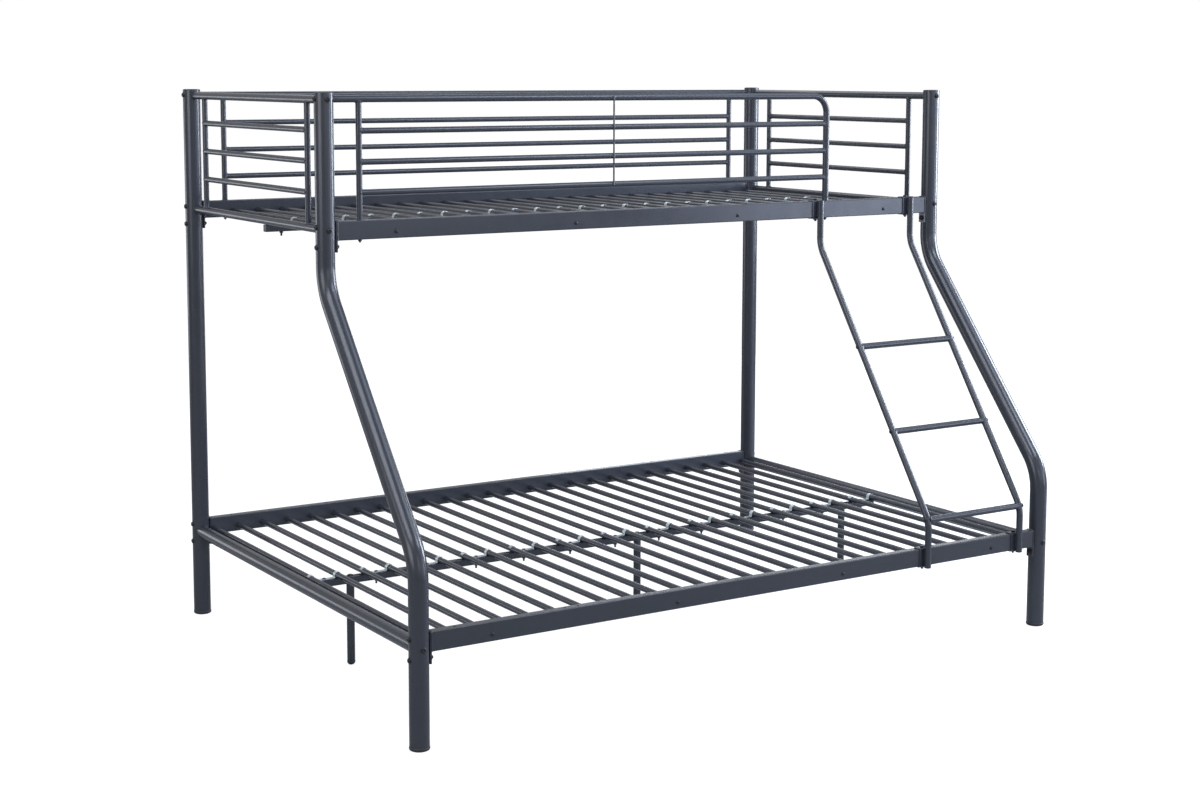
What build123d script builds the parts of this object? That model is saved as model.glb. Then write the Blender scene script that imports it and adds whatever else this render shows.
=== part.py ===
"""Triple bunk bed of steel tube: a wide lower bed, a narrow upper bed, guards and a ladder.

X runs along the beds, Y from the ladder to the back, Z up. The origin lies on the floor,
under the middle of the outer box. Lengths are in millimetres. The posts are round, and the
thinner bars, which repeat, are drawn with flat sides to keep the number of facets down.
"""

import os

from build123d import *

os.makedirs("parts", exist_ok=True)

# Driving sizes of the frame
bed_length = 2040
lower_width = 1424
upper_width = 922
post_height = 1568
upper_side_height = 326.5
lower_top = 290
post_d = 50
bar_d = 16
bar_sides = 12

# Bends of the front posts, whose corners lie above the lower and below the upper rails
lower_corner_rise = 173.5
upper_corner_drop = 170
post_bend_radius = 160

# Caps of the posts
cap_sides = 16
foot_height = 8
foot_bevel = 4
top_cap_height = 1.5
top_cap_inset = 1.5

# Rails and the plates welded to their ends
rail_width = 25
rail_height = 50
rail_wall = 1.5
plate_thickness = 4
plate_height = 80

# Slats, tie slats and the centre beams under them
slat_count = 26
slat_drop = 32
first_slat = 38
tie_slat_numbers = (3, 10, 17, 24)
beam_size = 20
beam_wall = 1.5
beam_end_gap = 30

# Clips that hold each pair of slats on a centre beam
clip_width = 13
clip_thickness = 1.5
clip_corner = 3.5
clip_slack = 0.3
clip_tip = 2

# Legs under the lower centre beam, each after the slat of this number
leg_slat_numbers = (2, 14, 24)
leg_d = 22
leg_foot_bevel = 4
leg_knob_d = 16
leg_knob_height = 4

# Tubes and bars of the two ends, with the bars at shares of the panel's height
lower_end_d = 38
lower_end_drop = 37.5
panel_tube_d = 22
panel_top_drop = 17
panel_bottom_drop = 22
panel_upright_inset = 103
panel_bar_shares = (0.276, 0.519, 0.762)

# Guards on the upper rails, with the bars at shares of the guard's height
guard_tube_d = 19
guard_top_drop = 15.5
guard_upright_inset = 97
guard_leg_inset = 412
guard_bend_radius = 50
guard_bar_shares = (0.228, 0.48, 0.737)
strut_share = 0.4265
strut_d = 5
strut_sides = 8
strut_sink = 1.5

# Ladder, with its rungs at shares of the way up its slope, and its clamps round the front rails
stringer_d = 19
stringer_offset = 24
stringer_left_inset = 448
stringer_right_inset = 97
stringer_rise = 1.5
stringer_upper_drop = 131.5
stringer_lower_rise = 80
stringer_bend_radius = 90
stringer_cap_height = 2
rung_d = 18.5
rung_shares = (0.619, 0.313, 0.005)
clamp_width = 45
clamp_plate = 2.5
clamp_lip = 24
clamp_bolt_d = 13
clamp_bolt_head = 4

# Bolts and nuts
bolt_sides = 8
nut_sides = 6
bolt_taper = 15
post_bolt_d = 16
post_bolt_head = 4.5
rail_bolt_drops = (15, 66)
nut_d = 13
nut_height = 6
slat_bolt_d = 10
slat_bolt_head = 3
rung_bolt_d = 12
rung_bolt_head = 3
guard_nut_d = 10
guard_nut_height = 5

# Sizes worked out from the driving sizes
post_r = post_d / 2
bar_r = bar_d / 2
half_length = bed_length / 2
upper_top = post_height - upper_side_height
ladder_reach = stringer_offset + stringer_d / 2
back_reach = post_r + post_bolt_head
back_y = (lower_width + ladder_reach - back_reach) / 2
front_y = {"lower": back_y - lower_width, "upper": back_y - upper_width}
post_x = {"left": -half_length, "right": half_length}
bed_width = {"lower": lower_width, "upper": upper_width}
rail_top = {"lower": lower_top, "upper": upper_top}
plate_face = half_length - post_r - plate_thickness
slat_pitch = (bed_length - 2 * first_slat) / (slat_count - 1)
plain_slats = [n for n in range(1, slat_count + 1) if n not in tie_slat_numbers]
lower_end_z = lower_top - lower_end_drop
panel_top = post_height - panel_top_drop
panel_bottom = upper_top - panel_bottom_drop
panel_bar_z = [panel_bottom + share * (panel_top - panel_bottom) for share in panel_bar_shares]
guard_top = post_height - guard_top_drop
guard_bar_z = [upper_top + share * (guard_top - upper_top) for share in guard_bar_shares]
stringer_x = {"left": half_length - stringer_left_inset, "right": half_length - stringer_right_inset}
stringer_y = {bed: y - stringer_offset for bed, y in front_y.items()}
stringer_corner = {"lower": lower_top + stringer_lower_rise, "upper": upper_top - stringer_upper_drop}
stringer_end = lower_top - rail_height - clamp_plate


def slat_x(number):
    """Position along X of a slat, counted from one at the left."""
    return -half_length + first_slat + (number - 1) * slat_pitch


def slat_z(bed):
    """Height of the centre lines of a bed's slats."""
    return rail_top[bed] - slat_drop


def flat_sided(diameter, sides):
    """Section of a round bar or head, drawn with flat sides of which one faces up."""
    RegularPolygon(diameter / 2, sides, major_radius=False, rotation=180 / sides)


# Back posts, straight
for side, x in post_x.items():
    with BuildPart() as back_post:
        with BuildSketch(Plane.XY.offset(foot_height)):
            with Locations((x, back_y)):
                Circle(post_r)
        extrude(amount=post_height - foot_height)
    back_post.part.label = f"post_back_{side}"
    export_step(back_post.part, f"parts/post_back_{side}.step")

# Front posts, bent inward between the wide lower bed and the narrow upper bed
for side, x in post_x.items():
    with BuildPart() as front_post:
        with BuildLine(Plane.YZ.offset(x)):
            FilletPolyline(
                (front_y["lower"], foot_height),
                (front_y["lower"], lower_top + lower_corner_rise),
                (front_y["upper"], upper_top - upper_corner_drop),
                (front_y["upper"], post_height),
                radius=post_bend_radius,
            )
        with BuildSketch(Plane.XY.offset(foot_height)):
            with Locations((x, front_y["lower"])):
                Circle(post_r)
        sweep()
    front_post.part.label = f"post_front_{side}"
    export_step(front_post.part, f"parts/post_front_{side}.step")

# Caps under and on the posts
with BuildPart() as foot_caps:
    with BuildSketch():
        with Locations(*[(x, y) for x in post_x.values() for y in (back_y, front_y["lower"])]):
            flat_sided(post_d, cap_sides)
    extrude(amount=foot_height)
    chamfer(foot_caps.edges().group_by(Axis.Z)[0], foot_bevel)
foot_caps.part.label = "post_foot_caps"
export_step(foot_caps.part, "parts/post_foot_caps.step")

with BuildPart() as top_caps:
    with BuildSketch(Plane.XY.offset(post_height)):
        with Locations(*[(x, y) for x in post_x.values() for y in (back_y, front_y["upper"])]):
            flat_sided(post_d - 2 * top_cap_inset, cap_sides)
    extrude(amount=top_cap_height)
top_caps.part.label = "post_top_caps"
export_step(top_caps.part, "parts/post_top_caps.step")

# Rails, square tubes with a plate welded to each end
for bed, top in rail_top.items():
    for place, y in (("back", back_y), ("front", front_y[bed])):
        with BuildPart() as rail:
            with BuildSketch(Plane.YZ):
                with Locations((y, top - rail_height / 2)):
                    Rectangle(rail_width, rail_height)
                    Rectangle(
                        rail_width - 2 * rail_wall, rail_height - 2 * rail_wall, mode=Mode.SUBTRACT
                    )
            extrude(amount=plate_face, both=True)
            for end in (-1, 1):
                with BuildSketch(Plane.YZ.offset(end * plate_face)):
                    with Locations((y, top - plate_height / 2)):
                        Rectangle(rail_width, plate_height)
                extrude(amount=end * plate_thickness)
        rail.part.label = f"{bed}_rail_{place}"
        export_step(rail.part, f"parts/{bed}_rail_{place}.step")

# Slats, the plain ones of a bed in one node and each tie slat in a node of its own
for bed, top in rail_top.items():
    slat_groups = {f"{bed}_tie_slat_{order}": [n] for order, n in enumerate(tie_slat_numbers, start=1)}
    slat_groups[f"{bed}_slats"] = plain_slats
    for name, numbers in slat_groups.items():
        with BuildPart() as slats:
            with BuildSketch(Plane.XZ.offset(rail_width / 2 - back_y)):
                with Locations(*[(slat_x(n), slat_z(bed)) for n in numbers]):
                    flat_sided(bar_d, bar_sides)
            extrude(amount=bed_width[bed] - rail_width)
        slats.part.label = name
        export_step(slats.part, f"parts/{name}.step")

# Centre beams under the slats
for bed in rail_top:
    with BuildPart() as beam:
        with BuildSketch(Plane.YZ):
            with Locations((back_y - bed_width[bed] / 2, slat_z(bed) - bar_r - beam_size / 2)):
                Rectangle(beam_size, beam_size)
                Rectangle(beam_size - 2 * beam_wall, beam_size - 2 * beam_wall, mode=Mode.SUBTRACT)
        extrude(amount=half_length - beam_end_gap, both=True)
    beam.part.label = f"{bed}_centre_beam"
    export_step(beam.part, f"parts/{bed}_centre_beam.step")

# Clips, each a strap that lies on the beam between two slats and hooks over both
clip_side = slat_pitch / 2 - bar_r
clip_end = slat_pitch / 2 + bar_r - clip_tip
clip_roof = bar_d + clip_slack
for bed in rail_top:
    base = slat_z(bed) - bar_r
    roof = base + clip_roof
    with BuildPart() as clips:
        with BuildSketch(Plane.XZ.offset(bed_width[bed] / 2 - back_y - clip_width / 2)):
            for first in range(1, slat_count, 2):
                middle = (slat_x(first) + slat_x(first + 1)) / 2
                for hook in (-1, 1):
                    with BuildLine():
                        Polyline(
                            (middle, base),
                            (middle + hook * clip_side, base),
                            (middle + hook * clip_side, roof - clip_corner),
                            (middle + hook * (clip_side + clip_corner), roof),
                            (middle + hook * clip_end, roof),
                            (middle + hook * clip_end, roof + clip_thickness),
                            (middle + hook * (clip_side + clip_thickness), roof + clip_thickness),
                            (middle + hook * (clip_side - clip_thickness), roof - clip_thickness),
                            (middle + hook * (clip_side - clip_thickness), base + clip_thickness),
                            (middle, base + clip_thickness),
                            close=True,
                        )
                    make_face()
        extrude(amount=clip_width)
    clips.part.label = f"{bed}_slat_clips"
    export_step(clips.part, f"parts/{bed}_slat_clips.step")

# Legs under the lower centre beam, with a foot, and the knobs of their bolts on the beam
beam_y = back_y - lower_width / 2
beam_top = slat_z("lower") - bar_r
leg_x = [(slat_x(n) + slat_x(n + 1)) / 2 for n in leg_slat_numbers]
for name, x in zip(("left", "middle", "right"), leg_x):
    with BuildPart() as leg:
        with BuildSketch():
            with Locations((x, beam_y)):
                flat_sided(leg_d, bar_sides)
        extrude(amount=beam_top - beam_size)
        chamfer(leg.edges().group_by(Axis.Z)[0], leg_foot_bevel)
    leg.part.label = f"centre_leg_{name}"
    export_step(leg.part, f"parts/centre_leg_{name}.step")

with BuildPart() as knobs:
    with BuildSketch(Plane.XY.offset(beam_top)):
        with Locations(*[(x, beam_y) for x in leg_x]):
            flat_sided(leg_knob_d, bar_sides)
    extrude(amount=leg_knob_height)
knobs.part.label = "centre_leg_knobs"
export_step(knobs.part, "parts/centre_leg_knobs.step")

# Lower end tubes, coped to fit the posts
for side, x in post_x.items():
    with BuildPart() as end_tube:
        with BuildSketch(Plane.XZ.offset(-back_y)):
            with Locations((x, lower_end_z)):
                Circle(lower_end_d / 2)
        extrude(amount=lower_width)
        with BuildSketch(Plane.XY.offset(lower_end_z)):
            with Locations((x, back_y), (x, front_y["lower"])):
                Circle(post_r)
        extrude(amount=lower_end_d, both=True, mode=Mode.SUBTRACT)
    end_tube.part.label = f"lower_end_tube_{side}"
    export_step(end_tube.part, f"parts/lower_end_tube_{side}.step")

# Upper end panels, each a welded frame of two tubes, two uprights and three bars
for side, x in post_x.items():
    with BuildPart() as panel:
        with BuildSketch(Plane.XZ.offset(-back_y)):
            with Locations((x, panel_top), (x, panel_bottom)):
                flat_sided(panel_tube_d, bar_sides)
        extrude(amount=upper_width)
        with BuildSketch(Plane.XZ.offset(panel_upright_inset - back_y)):
            with Locations(*[(x, z) for z in panel_bar_z]):
                flat_sided(bar_d, bar_sides)
        extrude(amount=upper_width - 2 * panel_upright_inset)
        with BuildSketch(Plane.XY.offset(panel_bottom)):
            with Locations(
                (x, back_y - panel_upright_inset), (x, front_y["upper"] + panel_upright_inset)
            ):
                flat_sided(bar_d, bar_sides)
        extrude(amount=panel_top - panel_bottom)
        with BuildSketch(Plane.XY.offset(panel_bottom - panel_tube_d)):
            with Locations((x, back_y), (x, front_y["upper"])):
                Circle(post_r)
        extrude(amount=panel_top - panel_bottom + 2 * panel_tube_d, mode=Mode.SUBTRACT)
    panel.part.label = f"upper_end_panel_{side}"
    export_step(panel.part, f"parts/upper_end_panel_{side}.step")

# Back guard, from post to post, standing on the rail with two uprights
upright_x = half_length - guard_upright_inset
with BuildPart() as back_guard:
    with BuildSketch(Plane.YZ):
        with Locations((back_y, guard_top)):
            flat_sided(guard_tube_d, bar_sides)
    extrude(amount=half_length, both=True)
    with BuildSketch(Plane.YZ):
        with Locations(*[(back_y, z) for z in guard_bar_z]):
            flat_sided(bar_d, bar_sides)
    extrude(amount=upright_x, both=True)
    with BuildSketch(Plane.XY.offset(upper_top)):
        with Locations((-upright_x, back_y), (upright_x, back_y)):
            flat_sided(bar_d, bar_sides)
    extrude(amount=guard_top - upper_top)
    with BuildSketch(Plane.XY.offset(guard_top)):
        with Locations((-half_length, back_y), (half_length, back_y)):
            Circle(post_r)
    extrude(amount=guard_tube_d, both=True, mode=Mode.SUBTRACT)
back_guard.part.label = "guard_back"
export_step(back_guard.part, "parts/guard_back.step")

# Front guard, whose top tube bends down into a leg and leaves an entry for the ladder
leg_line_x = half_length - guard_leg_inset
guard_y = front_y["upper"]
strut_x = strut_share * bed_length - half_length
strut_y = guard_y - bar_r - strut_d / 2 + strut_sink
with BuildPart() as front_guard:
    with BuildLine(Plane.XZ.offset(-guard_y)):
        FilletPolyline(
            (-half_length, guard_top),
            (leg_line_x, guard_top),
            (leg_line_x, upper_top),
            radius=guard_bend_radius,
        )
    with BuildSketch(Plane.YZ.offset(-half_length)):
        with Locations((guard_y, guard_top)):
            flat_sided(guard_tube_d, bar_sides)
    sweep()
    with BuildSketch(Plane.YZ.offset(-upright_x)):
        with Locations(*[(guard_y, z) for z in guard_bar_z]):
            flat_sided(bar_d, bar_sides)
    extrude(amount=upright_x + leg_line_x)
    with BuildSketch(Plane.XY.offset(upper_top)):
        with Locations((-upright_x, guard_y)):
            flat_sided(bar_d, bar_sides)
    extrude(amount=guard_top - upper_top)
    with BuildSketch(Plane.XY.offset(guard_bar_z[0])):
        with Locations((strut_x, strut_y)):
            flat_sided(strut_d, strut_sides)
    extrude(amount=guard_top - guard_bar_z[0])
    with BuildSketch(Plane.XY.offset(guard_top)):
        with Locations((-half_length, guard_y)):
            Circle(post_r)
    extrude(amount=guard_tube_d, both=True, mode=Mode.SUBTRACT)
front_guard.part.label = "guard_front"
export_step(front_guard.part, "parts/guard_front.step")

# Ladder stringers, bent like the front posts, each welded to two clamps
stringers = {}
for side, x in stringer_x.items():
    with BuildPart() as stringer:
        with BuildLine(Plane.YZ.offset(x)):
            FilletPolyline(
                (stringer_y["lower"], stringer_end),
                (stringer_y["lower"], stringer_corner["lower"]),
                (stringer_y["upper"], stringer_corner["upper"]),
                (stringer_y["upper"], upper_top + stringer_rise),
                radius=stringer_bend_radius,
            )
        with BuildSketch(Plane.XY.offset(stringer_end)):
            with Locations((x, stringer_y["lower"])):
                flat_sided(stringer_d, bar_sides)
        sweep()
        for bed, top in rail_top.items():
            rail_face = front_y[bed] - rail_width / 2
            with BuildSketch(Plane.YZ.offset(x - clamp_width / 2)):
                with Locations((rail_face - clamp_plate, top + clamp_plate)):
                    Rectangle(
                        clamp_lip, rail_height + 2 * clamp_plate, align=(Align.MIN, Align.MAX)
                    )
                with Locations((rail_face, top)):
                    Rectangle(
                        clamp_lip, rail_height, align=(Align.MIN, Align.MAX), mode=Mode.SUBTRACT
                    )
            extrude(amount=clamp_width)
    stringers[side] = stringer.part
    stringer.part.label = f"ladder_stringer_{side}"
    export_step(stringer.part, f"parts/ladder_stringer_{side}.step")

# Caps in the lower ends of the stringers
with BuildPart() as stringer_caps:
    with BuildSketch(Plane.XY.offset(stringer_end)):
        with Locations(*[(x, stringer_y["lower"]) for x in stringer_x.values()]):
            flat_sided(stringer_d, bar_sides)
    extrude(amount=-stringer_cap_height)
stringer_caps.part.label = "ladder_end_caps"
export_step(stringer_caps.part, "parts/ladder_end_caps.step")

# Rungs on the centre lines of the stringers, cut to fit them
rung_spots = [
    (
        stringer_y["lower"] + share * (stringer_y["upper"] - stringer_y["lower"]),
        stringer_corner["lower"] + share * (stringer_corner["upper"] - stringer_corner["lower"]),
    )
    for share in rung_shares
]
for order, (y, z) in enumerate(rung_spots, start=1):
    with BuildPart() as rung:
        with BuildSketch(Plane.YZ.offset(stringer_x["left"])):
            with Locations((y, z)):
                flat_sided(rung_d, bar_sides)
        extrude(amount=stringer_x["right"] - stringer_x["left"])
        add(list(stringers.values()), mode=Mode.SUBTRACT)
    rung.part.label = f"ladder_rung_{order}"
    export_step(rung.part, f"parts/ladder_rung_{order}.step")

# Bolts along X through the posts, two at each rail end and one at each guard end
with BuildPart() as rail_bolts:
    for end in (-1, 1):
        with BuildSketch(Plane.YZ.offset(end * (half_length + post_r))):
            for bed, top in rail_top.items():
                for y in (back_y, front_y[bed]):
                    with Locations(*[(y, top - drop) for drop in rail_bolt_drops]):
                        flat_sided(post_bolt_d, bolt_sides)
        extrude(amount=end * post_bolt_head, taper=bolt_taper)
rail_bolts.part.label = "rail_bolts"
export_step(rail_bolts.part, "parts/rail_bolts.step")

with BuildPart() as guard_bolts:
    with BuildSketch(Plane.YZ.offset(-half_length - post_r)):
        with Locations((back_y, guard_top), (front_y["upper"], guard_top)):
            flat_sided(post_bolt_d, bolt_sides)
    extrude(amount=-post_bolt_head, taper=bolt_taper)
    with BuildSketch(Plane.YZ.offset(half_length + post_r)):
        with Locations((back_y, guard_top)):
            flat_sided(post_bolt_d, bolt_sides)
    extrude(amount=post_bolt_head, taper=bolt_taper)
guard_bolts.part.label = "guard_bolts"
export_step(guard_bolts.part, "parts/guard_bolts.step")

# Nuts of the lower rail bolts, on the inner side of the end plates
with BuildPart() as rail_nuts:
    for end in (-1, 1):
        with BuildSketch(Plane.YZ.offset(end * plate_face)):
            for bed, top in rail_top.items():
                nut_z = top - rail_bolt_drops[1]
                with Locations((back_y, nut_z), (front_y[bed], nut_z)):
                    flat_sided(nut_d, nut_sides)
        extrude(amount=-end * nut_height)
rail_nuts.part.label = "rail_nuts"
export_step(rail_nuts.part, "parts/rail_nuts.step")

# Bolts along Y through the posts, one at each end of the end tubes and panels
with BuildPart() as end_bolts:
    with BuildSketch(Plane.XZ.offset(-back_y - post_r)):
        for x in post_x.values():
            with Locations((x, lower_end_z), (x, panel_bottom), (x, panel_top)):
                flat_sided(post_bolt_d, bolt_sides)
    extrude(amount=-post_bolt_head, taper=bolt_taper)
    with BuildSketch(Plane.XZ.offset(post_r - front_y["lower"])):
        with Locations(*[(x, lower_end_z) for x in post_x.values()]):
            flat_sided(post_bolt_d, bolt_sides)
    extrude(amount=post_bolt_head, taper=bolt_taper)
    with BuildSketch(Plane.XZ.offset(post_r - front_y["upper"])):
        for x in post_x.values():
            with Locations((x, panel_bottom), (x, panel_top)):
                flat_sided(post_bolt_d, bolt_sides)
    extrude(amount=post_bolt_head, taper=bolt_taper)
end_bolts.part.label = "end_bolts"
export_step(end_bolts.part, "parts/end_bolts.step")

# Bolts of the tie slats, through the outer faces of the rails
with BuildPart() as slat_bolts:
    for bed in rail_top:
        spots = [(slat_x(n), slat_z(bed)) for n in tie_slat_numbers]
        with BuildSketch(Plane.XZ.offset(-back_y - rail_width / 2)):
            with Locations(*spots):
                flat_sided(slat_bolt_d, bolt_sides)
        extrude(amount=-slat_bolt_head, taper=bolt_taper)
        with BuildSketch(Plane.XZ.offset(rail_width / 2 - front_y[bed])):
            with Locations(*spots):
                flat_sided(slat_bolt_d, bolt_sides)
        extrude(amount=slat_bolt_head, taper=bolt_taper)
slat_bolts.part.label = "slat_bolts"
export_step(slat_bolts.part, "parts/slat_bolts.step")

# Bolts of the rungs, on the outer sides of the stringers
with BuildPart() as rung_bolts:
    for end, x in ((-1, stringer_x["left"]), (1, stringer_x["right"])):
        with BuildSketch(Plane.YZ.offset(x + end * stringer_d / 2)):
            with Locations(*rung_spots):
                flat_sided(rung_bolt_d, bolt_sides)
        extrude(amount=end * rung_bolt_head, taper=bolt_taper)
rung_bolts.part.label = "rung_bolts"
export_step(rung_bolts.part, "parts/rung_bolts.step")

# Bolts of the ladder clamps, down through the rails, with a head above and a nut below
with BuildPart() as clamp_bolts:
    for bed, top in rail_top.items():
        spots = [(x, front_y[bed]) for x in stringer_x.values()]
        with BuildSketch(Plane.XY.offset(top + clamp_plate)):
            with Locations(*spots):
                flat_sided(clamp_bolt_d, nut_sides)
        extrude(amount=clamp_bolt_head)
        with BuildSketch(Plane.XY.offset(top - rail_height - clamp_plate)):
            with Locations(*spots):
                flat_sided(clamp_bolt_d, nut_sides)
        extrude(amount=-clamp_bolt_head)
clamp_bolts.part.label = "clamp_bolts"
export_step(clamp_bolts.part, "parts/clamp_bolts.step")

# Nuts under the upper rails, of the bolts that hold the feet of the guards
with BuildPart() as guard_nuts:
    with BuildSketch(Plane.XY.offset(upper_top - rail_height)):
        with Locations(
            (-upright_x, back_y), (upright_x, back_y), (-upright_x, guard_y), (leg_line_x, guard_y)
        ):
            flat_sided(guard_nut_d, nut_sides)
    extrude(amount=-guard_nut_height)
guard_nuts.part.label = "guard_nuts"
export_step(guard_nuts.part, "parts/guard_nuts.step")
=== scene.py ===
import math
import random

import bmesh
import bpy
from mathutils import Matrix, Vector


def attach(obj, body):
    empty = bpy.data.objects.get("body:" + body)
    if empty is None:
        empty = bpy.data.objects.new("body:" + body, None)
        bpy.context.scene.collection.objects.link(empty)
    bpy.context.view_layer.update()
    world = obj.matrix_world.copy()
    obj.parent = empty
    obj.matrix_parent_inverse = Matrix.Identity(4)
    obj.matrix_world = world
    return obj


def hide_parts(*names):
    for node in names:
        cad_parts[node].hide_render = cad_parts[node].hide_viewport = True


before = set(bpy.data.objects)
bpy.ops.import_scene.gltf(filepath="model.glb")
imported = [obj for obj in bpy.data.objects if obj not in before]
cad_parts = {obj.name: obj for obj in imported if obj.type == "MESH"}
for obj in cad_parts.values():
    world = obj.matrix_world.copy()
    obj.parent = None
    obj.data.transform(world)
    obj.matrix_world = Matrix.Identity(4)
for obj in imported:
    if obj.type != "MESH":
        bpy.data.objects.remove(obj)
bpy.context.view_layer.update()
random.seed(7)

# Lengths are in millimetres until a piece is finished, in the part's own frame:
# X along the beds, Y to the back, Z up
MM = 0.001
BODY = "root"
BEDS = ("lower", "upper")
X_AXIS = Vector((1, 0, 0))
Y_AXIS = Vector((0, 1, 0))
Z_AXIS = Vector((0, 0, 1))

# Main lines of the frame
half_length = 1020
back_y = 714
bed_width = {"lower": 1424, "upper": 922}
front_y = {bed: back_y - bed_width[bed] for bed in BEDS}
post_top = 1568
upper_side = 326.5
rail_top = {"lower": 290, "upper": post_top - upper_side}
post_x = {"left": -half_length, "right": half_length}
post_r = 25
post_wall = 1.8
post_bend_rise = {"lower": 173.5, "upper": -170}
post_corner_z = {bed: rail_top[bed] + post_bend_rise[bed] for bed in BEDS}
post_bend_radius = 160

# Caps of the posts
foot_height = 8
foot_bulge = 0.9
top_cap_r = 23.4
top_cap_height = 1.5
top_cap_depth = 14

# Rails and their end plates
rail_width = 25
rail_height = 50
rail_wall = 1.5
rail_corner = 2.6
plate_thickness = 4
plate_height = 80
plate_corner = 1.2
plate_face = half_length - post_r - plate_thickness
spare_hole_r = 3.6
spare_hole_x = [half_length - inset for inset in (97, 410, 448)]

# Slats, and the holes in the rails that take them
slat_count = 26
first_slat = 38
slat_pitch = (2 * half_length - 2 * first_slat) / (slat_count - 1)
slat_r = 8
slat_drop = 32
slat_reach = 6
slat_hole_gap = 0.35
slat_hole_start = 4
slat_hole_end = 20
tie_slat_numbers = (3, 10, 17, 24)

# Centre beams and their clips
beam_size = 20
beam_corner = 2.2
beam_wall = 1.5
beam_reach = half_length - 30
beam_y = {bed: (back_y + front_y[bed]) / 2 for bed in BEDS}
beam_plug_start = 12
beam_plug_depth = 14
beam_plug_out = 1.6
beam_plug_corner = 1.6
clip_width = 13
clip_thickness = 1.5
clip_slack = 0.3
clip_rib = 0.9
clip_wrap = 150
screw_head_r = 5.2
screw_head_height = 2.6
screw_slot_r = 1.4
screw_nut_r = 5
screw_nut = 4.5
screw_tail_r = 2.8
screw_tail = 12.5

# Centre legs
leg_slat_numbers = (2, 14, 24)
leg_r = 11
leg_foot_height = 11.6
leg_dome = 9.6
leg_knob_r = 8
leg_knob_height = 4

# End tubes and end panels, with the bars at shares of the panel's height
lower_end_r = 19
lower_end_z = rail_top["lower"] - 37.5
lower_end_setback = 14
tube_setback = 18
panel_tube_r = 11
panel_z = {"top": post_top - 17, "bottom": rail_top["upper"] - 22}
panel_bar_shares = (0.276, 0.519, 0.762)
panel_bar_z = [
    panel_z["bottom"] + share * (panel_z["top"] - panel_z["bottom"]) for share in panel_bar_shares
]
panel_upright_inset = 103
bar_r = 8
bar_setback = 2
upright_setback = 4

# Guards, with the bars at shares of the guard's height
guard_tube_r = 9.5
guard_z = post_top - 15.5
guard_bar_shares = (0.228, 0.48, 0.737)
guard_bar_z = [rail_top["upper"] + share * (guard_z - rail_top["upper"]) for share in guard_bar_shares]
guard_upright_x = half_length - 97
guard_leg_x = half_length - 412
guard_bend_radius = 50
guard_sink = 1
strut_share = 0.4265
strut_r = 2.5
strut_bite = 1.5
strut_x = 2 * half_length * strut_share - half_length
strut_y = front_y["upper"] - bar_r - strut_r + strut_bite

# Ladder, with its clamps round the front rails and its rungs at shares of the way up its slope
clamp_width = 45
clamp_plate = 2.5
clamp_lip = 24
clamp_bend = 3.2
stringer_r = 9.5
stringer_x = {"left": half_length - 448, "right": half_length - 97}
stringer_y = {bed: front_y[bed] - 24 for bed in BEDS}
stringer_corner = {"lower": rail_top["lower"] + 80, "upper": rail_top["upper"] - 131.5}
stringer_foot = rail_top["lower"] - rail_height - clamp_plate
stringer_top = rail_top["upper"] + 1.5
stringer_cap = 1
stringer_bend_radius = 90
rung_r = 9.25
rung_setback = 3
rung_shares = (0.619, 0.313, 0.005)
rung_spots = [
    [
        places["lower"] + share * (places["upper"] - places["lower"])
        for places in (stringer_y, stringer_corner)
    ]
    for share in rung_shares
]

# Fasteners: the radius and height of each head or nut, and how far a bolt's end stands out
post_bolt = (6.6, 4.4)
rail_bolt_drops = (15, 66)
slat_bolt = (5, 3)
rung_bolt = (6, 3)
clamp_bolt = (6.5, 4)
clamp_bolt_tail = 8
rail_nut = (6.5, 6)
rail_nut_tail = 9
guard_nut = (5, 5)
guard_nut_tail = 8

# Thickness of the weld beads
bar_weld = 1.9
plate_weld = 1.5
rung_weld = 1.3
leg_weld = 1.2
clamp_weld = 2.1

# Sides of round shapes, and points of a weld round a bar
POST_SIDES = 56
CAP_SIDES = 48
COLLAR_SIDES = 36
TUBE_SIDES = 32
WASHER_SIDES = 30
BAR_SIDES = 28
BOLT_SIDES = 24
HOLE_SIDES = 20
SCREW_SIDES = 18
STRUT_SIDES = 16
DAB_SIDES = 14
SEAM_SIDES = 8
BEAD_SIDES = 7
WELD_POINTS = 36


def slat_x(number):
    """Position along X of a slat, counted from one at the left."""
    return -half_length + first_slat + (number - 1) * slat_pitch


def slat_z(bed):
    """Height of the centre lines of a bed's slats."""
    return rail_top[bed] - slat_drop


# Shapes


def rounded(points, radius, steps):
    """A line through the points with each inner corner replaced by an arc of this radius."""
    points = [Vector(p) for p in points]
    line = [points[0]]
    for before, corner, after in zip(points, points[1:], points[2:]):
        come = (before - corner).normalized()
        leave = (after - corner).normalized()
        half = come.angle(leave) / 2
        centre = corner + (come + leave).normalized() * (radius / math.sin(half))
        start = corner + come * (radius / math.tan(half)) - centre
        end = corner + leave * (radius / math.tan(half)) - centre
        turn = start.angle(end)
        axis = start.cross(end).normalized()
        for step in range(steps + 1):
            line.append(centre + Matrix.Rotation(turn * step / steps, 3, axis) @ start)
    line.append(points[-1])
    return line


def circle(radius, sides):
    """Section of a round bar."""
    turns = [math.tau * n / sides for n in range(sides)]
    return [(radius * math.cos(turn), radius * math.sin(turn)) for turn in turns]


def rounded_box(width, height, radius, steps=5):
    """Section of a bar with four flat sides and rounded corners."""
    section = []
    for quarter, (a, b) in enumerate(((1, 1), (-1, 1), (-1, -1), (1, -1))):
        corner_a, corner_b = a * (width / 2 - radius), b * (height / 2 - radius)
        for step in range(steps + 1):
            turn = math.pi / 2 * (quarter + step / steps)
            section.append((corner_a + radius * math.cos(turn), corner_b + radius * math.sin(turn)))
    return section


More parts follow.
